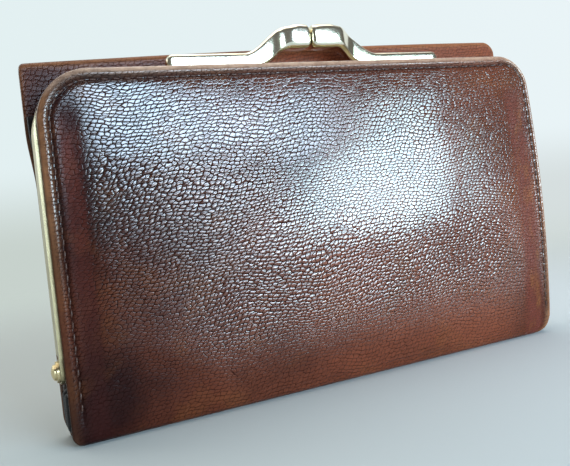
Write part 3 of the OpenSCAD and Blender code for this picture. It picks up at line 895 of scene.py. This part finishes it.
def pocket_gusset(side, sign):
    """A V between the rear wall and the leaf, closed to the leaf by its last strip."""
    rows = []
    for z in lines(POCKET_LOW, POCKET_TOP, 1.2):
        y_leaf = LEAF_AXIS_Y - LEAF_R + (z - LEAF_R) * math.tan(LEAF_TILT) - 0.16
        y_leaf = max(y_leaf, POCKET_Y + 0.02)
        y_strip = POCKET_Y + 0.45 * (y_leaf - POCKET_Y)
        line = curve([(68.9, 9.66), (69.25, 9.70), (67.0, 9.78), (62.0, 9.86), (59.0, 9.93), (62.0, 10.00),
                      (67.0, 10.08), (69.1, 10.17), (69.35, y_strip), (68.8, y_leaf)], POCKET_POINTS)
        line[:, 0] += (0.3 + POCKET_BULGE * ramp(z, 57, 73)) * ramp(line[:, 0], 62, 68)
        rows.append(np.stack([sign * line[:, 0], line[:, 1], np.full(POCKET_POINTS, z)], -1))
    piece, width = ribbon(f"{side}_pocket_gusset_fold", np.array(rows), 0.10)
    row((0, 9.68, 40))
    row((0, 10.20, 40))
    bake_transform(piece)
    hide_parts(f"{side}_pocket_gusset")


for side, sign in (("left", -1), ("right", 1)):
    gusset_foot(side, sign)
    gusset_fan(side, sign)
    pocket_gusset(side, sign)


# Stitches
THREAD_LEN, THREAD_R, THREAD_SLANT, THREAD_ARCH, THREAD_PROUD = 1.95, 0.25, 0.10, 0.42, 0.10
PROBE = 0.4


def stitches(name, places):
    """Arched stitches; a place is (middle, direction, outward normal)."""
    verts, faces, grain = [], [], []
    ts = np.linspace(-1, 1, 9)
    ring = np.linspace(0, 2 * math.pi, 9)[:-1]
    for k, place in enumerate(places):
        mid, way, out = (np.array(v, float) for v in place)
        way /= np.linalg.norm(way)
        out -= way * (out @ way)
        out /= np.linalg.norm(out)
        way = way * math.cos(THREAD_SLANT) + np.cross(way, out) * math.sin(THREAD_SLANT)
        aside = np.cross(way, out)
        first = len(verts)
        for t in ts:
            at = t * THREAD_LEN / 2
            c = mid + way * at + out * (THREAD_PROUD - THREAD_ARCH * t ** 4)
            r = THREAD_R * math.sqrt(max(1 - abs(t) ** 5, 0.06))
            for a in ring:
                verts.append(c + aside * (r * math.cos(a)) + out * (r * 0.85 * math.sin(a)))
                grain.append((at + k * 3.1, a, 0))
        faces += [first + face for face in tube(len(ts), len(ring))]
    return make(name, np.array(verts), faces, THREAD, np.array(grain))


def outline_points(half, z0, top, r, r2, inset, pitch):
    """Points and directions up the left side, over the top and down the right side."""
    in_r, in_r2 = r - inset, r2 - inset
    lengths = (top - r - z0, math.pi / 2 * in_r, 2 * half - r - r2, math.pi / 2 * in_r2, top - r2 - z0)
    n = int(sum(lengths) / pitch)
    found = []
    for k in range(n):
        q = (k + 0.5) * sum(lengths) / n
        part = 0
        while q >= lengths[part]:
            q -= lengths[part]
            part += 1
        a = q / (in_r if part == 1 else in_r2)
        c, s = math.cos(a), math.sin(a)
        found.append(((-half + inset, z0 + q, 0, 1),
                      (-half + r - in_r * c, top - r + in_r * s, s, c),
                      (-half + r + q, top - inset, 1, 0),
                      (half - r2 + in_r2 * s, top - r2 + in_r2 * c, c, -s),
                      (half - inset, top - r2 - q, 0, -1))[part])
    return found


def front_point(x, z):
    """The front leather's outer point over a flat place of the panel."""
    x, z = np.array(x), np.array(z)
    lift = front_lift(x, z, edge_distance(x, z, HALF_W, PANEL_H, corner_r(x)))
    aside, push = right_bow(x, z)
    return np.array([x + aside, -lift - push, z])


def leaf_point(x, z):
    """A point in the stitched line on the leaf's back."""
    return leaf_place(np.array([x, LEAF_R - 0.32 + leaf_sag(x, z), z]))


def sewn_place(point, x, z, dx, dz, out):
    way = point(x + PROBE * dx, z + PROBE * dz) - point(x - PROBE * dx, z - PROBE * dz)
    return point(x, z), way, out


places = []
for x, z, dx, dz in outline_points(HALF_W, STITCH_Z, PANEL_H, TOP_R, TOP_R_RIGHT, STITCH_IN, STITCH_PITCH):
    x += STITCH_IN - side_inset(x)
    places.append(sewn_place(front_point, x, z, dx, dz, (0, -1, 0)))
front_thread = stitches("front_thread", places)
row((0, 0, BLEND_TOP))
row((0, 0, BLEND_LOW))
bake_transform(front_thread)
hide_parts("front_stitching", "wrap_stitching")

LEAF_STITCH_Z, LEAF_STITCH_R = 8.0, STITCH_IN + 0.8
leaf_line = outline_points(LEAF_HALF, LEAF_STITCH_Z, ROLL_Z + 1.0, LEAF_STITCH_R, LEAF_STITCH_R, STITCH_IN,
                           STITCH_PITCH)
leaf_thread = stitches("leaf_thread", [sewn_place(leaf_point, *at, (0, 1, 0)) for at in leaf_line])
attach(leaf_thread, "bill_leaf")
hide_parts("leaf_stitching")


# Clasp
CLASP_REACH, ARM_H, BUMP_REACH, ARCH_REACH = 40.9, 3.8, 21.6, 18.8
PAD_H, ARCH_H, PAD_GAP, RISE_END, ARCH_END, CLASP_MID, SEAM_X = 11.2, 5.0, 0.4, 8.6, 7.6, 1.9, -1.4
PAD_REACH, PAD_Y, CROWN = 9.0, (1.3, 7.9), 0.5
TIP_R, SEAM_R = 1.7, 1.15
HOLLOW_X, HOLLOW_W, WIDE_X, WIDE_W = 10.6, 2.3, 14.5, 6.0


def rounded_section(y0, y1, z0, z1, r, n=7):
    """Rounded rectangle in y and z, the same number of points at any size."""
    r = min(r, (y1 - y0) / 2 - 0.01, (z1 - z0) / 2 - 0.01)
    y0, y1, z0, z1 = y0 + r, y1 - r, z0 + r, z1 - r
    pts = []
    for cy, cz, a0 in ((y1, z1, 0), (y0, z1, 90), (y0, z0, 180), (y1, z0, 270)):
        for i in range(n):
            a = math.radians(a0 + 90 * i / (n - 1))
            pts.append((cy + r * math.cos(a), cz + r * math.sin(a)))
    return pts


def quarter_fall(into, r):
    """How far a quarter round of radius r has fallen away at a depth into it."""
    return r * (1 - math.sqrt(max(1 - (into / r) ** 2, 0)))


def clasp_section(x, x_in, arm_y, hollow, near):
    """Outline of the clasp at x, from the arm's tip at the left to the seam at x_in."""
    pad_mid, pad_half = (x_in - PAD_REACH + near) / 2, (x_in + PAD_REACH - near) / 2
    up = smooth((x + BUMP_REACH - near) / (BUMP_REACH - RISE_END))
    arch = smooth((x + ARCH_REACH - near) / (ARCH_REACH - ARCH_END))
    wide = smooth((x + WIDE_X - near) / WIDE_W)
    crown = CROWN * (1 - ((x - pad_mid) / pad_half) ** 2) * smooth((x + PAD_REACH - near) / 3)
    z0 = FRAME_TOP + ARCH_H * arch - 0.25 * crown
    z1 = FRAME_TOP + ARM_H + (PAD_H - ARM_H - 0.45) * up + 0.9 * crown
    y0, y1 = (a * (1 - wide) + b * wide for a, b in zip(arm_y, PAD_Y))
    y0 += hollow * math.exp(-((x + HOLLOW_X - near) / HOLLOW_W) ** 2)
    cut = quarter_fall(x - x_in + SEAM_R, SEAM_R) if x > x_in - SEAM_R else 0.0
    tip = TIP_R - CLASP_REACH
    if x < tip:
        fall = quarter_fall(tip - x, TIP_R)
        z1 -= fall
        z0 += 0.7 * fall
        y0 += 0.27 * fall
        y1 -= 0.27 * fall
    r = 0.95 + 0.65 * wide
    return rounded_section(y0 + cut, y1 - cut, z0 + cut * 0.8, z1 - cut, max(r - cut * 0.3, 0.3))


def clasp(name, sign, arm_y, hollow, near):
    """Arm on the frame that rises into a pad over a half arch; sign -1 is the left one."""
    tip, x_in = -CLASP_REACH, -PAD_GAP / 2 - sign * SEAM_X
    quarter = np.linspace(0, math.pi / 2, 9)
    xs = np.r_[tip + TIP_R * (1 - np.cos(quarter)), lines(tip + 2.2, -21.4, 1.6),
               lines(-20.8, -5.5, 0.35), lines(-5.0, x_in - 1.5, 0.5),
               x_in - SEAM_R * (1 - np.sin(quarter))]
    sections = []
    for x in xs:
        outline = clasp_section(x, x_in, arm_y, hollow, near)
        sections.append([(CLASP_MID - sign * x, y, z) for y, z in outline])
    p = np.array(sections)
    points = p.reshape(-1, 3)
    return make(name, points, tube(*p.shape[:2]), CLASP_GOLD, points)


left = clasp("left_clasp_metal", -1, (1.5, 4.4), 1.1, 0.8)
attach(left, "front_half")
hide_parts("left_clasp")
right = clasp("right_clasp_metal", 1, (5.1, 8.0), 0.5, 1.3)
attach(right, "purse")
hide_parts("right_clasp")


# CAD nodes that stay
for name, material in (("front_frame", FRAME_GOLD), ("rear_frame", FRAME_GOLD), ("left_rivet", RIVET_GOLD),
                       ("right_rivet", RIVET_GOLD), ("front_board", BOARD), ("rear_board", BOARD)):
    mesh = nodes[name].data
    mesh.materials.clear()
    mesh.materials.append(material)


# Stage, in metres
FLOOR_FRONT, SWEEP_FROM, SWEEP_R, WALL_TOP, STAGE_HALF = -1.6, 0.30, 0.25, 1.6, 2.2


def stage_material():
    """Pale table, paler to the right as painted light, and a wall and far floor that glow for the camera
    and in reflections, brighter to the right and darker low down as painted light.
    """
    m = Nodes("pale_stage")
    place = m.add("ShaderNodeTexCoord", 3)
    x, y, z = m.split(place)
    # the far floor glows too, from nearer in on the right: a painted pool of light
    far_floor = m.remap(m.times_plus(x, 0.35, y), 0.06, 0.30)
    wall = m.math("MAXIMUM", m.remap(z, 0.0, 0.06), far_floor)
    # painted light: the table is paler to the right
    floor = m.mix(m.remap(x, -0.08, 0.14), rgb((0.62, 0.67, 0.655)), rgb((0.76, 0.80, 0.81)))
    base = m.mix(m.product(m.noise(place, 9.0, 3.0), 0.10), floor, rgb((0.59, 0.64, 0.65)))
    m.set(Base_Color=base, Roughness=0.9, Specular_IOR_Level=0.1)
    # painted light: the glow is brighter to the right and darker low down
    glow = m.mix(m.remap(x, -0.3, 0.8), rgb((0.76, 0.865, 0.875)), rgb((0.82, 0.905, 0.93)))
    ground = m.mix(m.remap(x, -0.2, 0.6), rgb((0.56, 0.63, 0.59)), rgb((0.68, 0.74, 0.745)))
    glow = m.mix(m.remap(z, 0.02, 0.10), ground, glow)
    lit = m.add("ShaderNodeEmission", Color=glow, Strength=1.0)
    path = m.tree.nodes.new("ShaderNodeLightPath").outputs
    mirrored = m.math("MAXIMUM", path["Is Glossy Ray"], path["Is Transmission Ray"])
    seen = m.product(m.math("MAXIMUM", path["Is Camera Ray"], mirrored), wall)
    mixed = m.add("ShaderNodeMixShader", i0=seen, i1=m.bsdf.outputs[0], i2=lit)
    m.tree.links.new(mixed, m.out.inputs[0])
    return m.mat


profile = [(FLOOR_FRONT, 0.0), (SWEEP_FROM, 0.0)]
for a in np.linspace(0, math.pi / 2, 16)[1:]:
    profile.append((SWEEP_FROM + SWEEP_R * math.sin(a), SWEEP_R * (1 - math.cos(a))))
profile.append((SWEEP_FROM + SWEEP_R, WALL_TOP))
verts = [(x, y, z) for y, z in profile for x in (-STAGE_HALF, STAGE_HALF)]
faces = [(2 * i, 2 * i + 1, 2 * i + 3, 2 * i + 2) for i in range(len(profile) - 1)]
mesh = bpy.data.meshes.new("stage_sweep")
mesh.from_pydata(verts, [], faces)
mesh.polygons.foreach_set("use_smooth", np.ones(len(faces), bool))
mesh.materials.append(stage_material())
sweep = bpy.data.objects.new("stage_sweep", mesh)
link(sweep)


# Light, in metres and watts
def lamp(name, at, aim, size, power, colour):
    light = bpy.data.lights.new(name, "AREA")
    light.shape = "RECTANGLE"
    light.size, light.size_y = size
    light.energy, light.color = power, colour
    obj = bpy.data.objects.new(name, light)
    obj.location = at
    obj.rotation_mode = "QUATERNION"
    obj.rotation_quaternion = (Vector(aim) - Vector(at)).to_track_quat("-Z", "Y")
    link(obj)


WINDOW_Y, WINDOW_AIM = -0.45, (0.01, 0.0, 0.055)
WINDOW_FADE_Z, WINDOW_STEP = 0.012, 0.004
DAYLIGHT, SKYLIGHT, ROOMLIGHT = (0.58, 0.86, 1.0), (0.60, 0.79, 1.0), (0.82, 0.90, 1.0)


def window(name, x, z, fade, strength, colour=DAYLIGHT):
    """A window out of focus: two lamps that differ by the fade at each end; strength in watts per m2."""
    for k in (-0.5, 0.5):
        x0, x1 = x[0] - k * fade[0], x[1] + k * fade[1]
        wide, tall = x1 - x0, z[1] - z[0] + k * WINDOW_FADE_Z
        at = ((x0 + x1) / 2, WINDOW_Y + WINDOW_STEP * k, sum(z) / 2)
        lamp(f"{name}_{k}", at, WINDOW_AIM, (wide, tall), strength * wide * tall / 2, colour)


# the photograph shows the reflections of a wide window at the left and a bell-shaped one at the right
window("window_left", (-0.02, 0.11), (0.112, 0.214), (0.02, 0.05), 56.0, SKYLIGHT)
window("window_top", (0.11, 0.25), (0.138, 0.204), (0.05, 0.02), 56.0, SKYLIGHT)
window("window_right", (0.302, 0.374), (0.120, 0.192), (0.03, 0.006), 56.0)
window("window_upper", (0.220, 0.385), (0.080, 0.124), (0.04, 0.006), 60.0)
window("window_middle", (0.172, 0.391), (0.044, 0.084), (0.04, 0.006), 62.0)
window("window_low", (0.120, 0.396), (0.008, 0.046), (0.05, 0.006), 62.0)
window("room", (0.042, 0.160), (0.012, 0.084), (0.05, 0.03), 37.0, ROOMLIGHT)
lamp("behind", (-0.38, 0.36, 0.24), (0.0, 0.0, 0.04), (0.30, 0.25), 0.5, (1.0, 0.97, 0.93))
lamp("overhead", (0.05, 0.06, 0.90), (0.0, 0.0, 0.0), (1.0, 0.8), 4.8, (1.0, 0.98, 0.95))

world = bpy.data.worlds.new("world")
bpy.context.scene.world = world
world.use_nodes = True
sky = world.node_tree.nodes["Background"].inputs
sky[0].default_value = (0.92, 0.93, 0.92, 1.0)
sky[1].default_value = 0.15
bpy.context.scene.view_settings.view_transform = "Standard"
